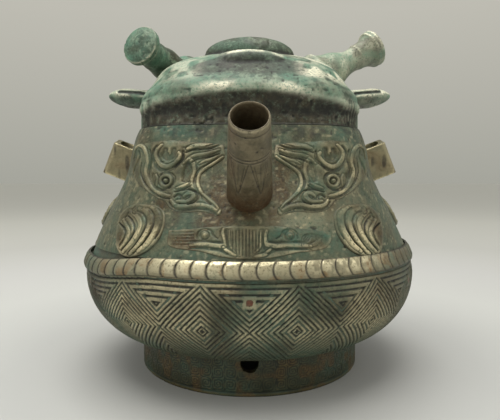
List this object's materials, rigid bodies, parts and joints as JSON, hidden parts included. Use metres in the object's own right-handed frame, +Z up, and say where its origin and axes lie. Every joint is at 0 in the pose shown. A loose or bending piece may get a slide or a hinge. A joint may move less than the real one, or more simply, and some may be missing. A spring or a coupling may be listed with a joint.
{
  "type": "bronze ritual ewer",
  "caption": "Lidded bronze pouring vessel: round belly on a ring foot, squarish neck, tubular spout, side lugs, and a hollow horned-mask lid that lifts off.",
  "frame": {"origin": "centre of the ring foot's resting face", "axes": "+Z up, the spout points along -Y, +X to the right of someone facing the spout"},
  "size_m": [0.179, 0.2003, 0.1895],
  "materials": {
    "patina_bronze": "aged green-brown patina, satin",
    "green_patina": "sea-green corrosion, matt",
    "worn_bronze": "worn tan bronze, satin",
    "chaplet_bronze": "reddish brown, matt",
    "core_clay": "fired clay, matt"
  },
  "bodies": {
    "vessel": {"vessel_body": "patina_bronze", "foot_ring": "green_patina", "spout": "worn_bronze", "left_lug": "worn_bronze", "right_lug": "worn_bronze", "scale_band": "worn_bronze", "wall_chaplets": "chaplet_bronze", "front_bird_panel": "patina_bronze", "rear_bird_panel": "patina_bronze", "left_spout_dragon": "patina_bronze", "right_spout_dragon": "patina_bronze", "rear_left_dragon": "patina_bronze", "rear_right_dragon": "patina_bronze", "left_front_paw": "patina_bronze", "right_front_paw": "patina_bronze", "left_hind_paw": "patina_bronze", "right_hind_paw": "patina_bronze", "left_limb": "patina_bronze", "right_limb": "patina_bronze"},
    "lid": {"lid_mask": "green_patina", "lid_flange": "green_patina", "left_horn": "green_patina", "right_horn": "green_patina", "left_horn_core": "core_clay", "right_horn_core": "core_clay", "left_ear": "green_patina", "right_ear": "green_patina"}
  },
  "joints": [
    {"name": "lid_lift", "type": "slide", "parent": "vessel", "child": "lid", "axis": [0, 0, 1], "range_m": [0, 0.08]}
  ]
}
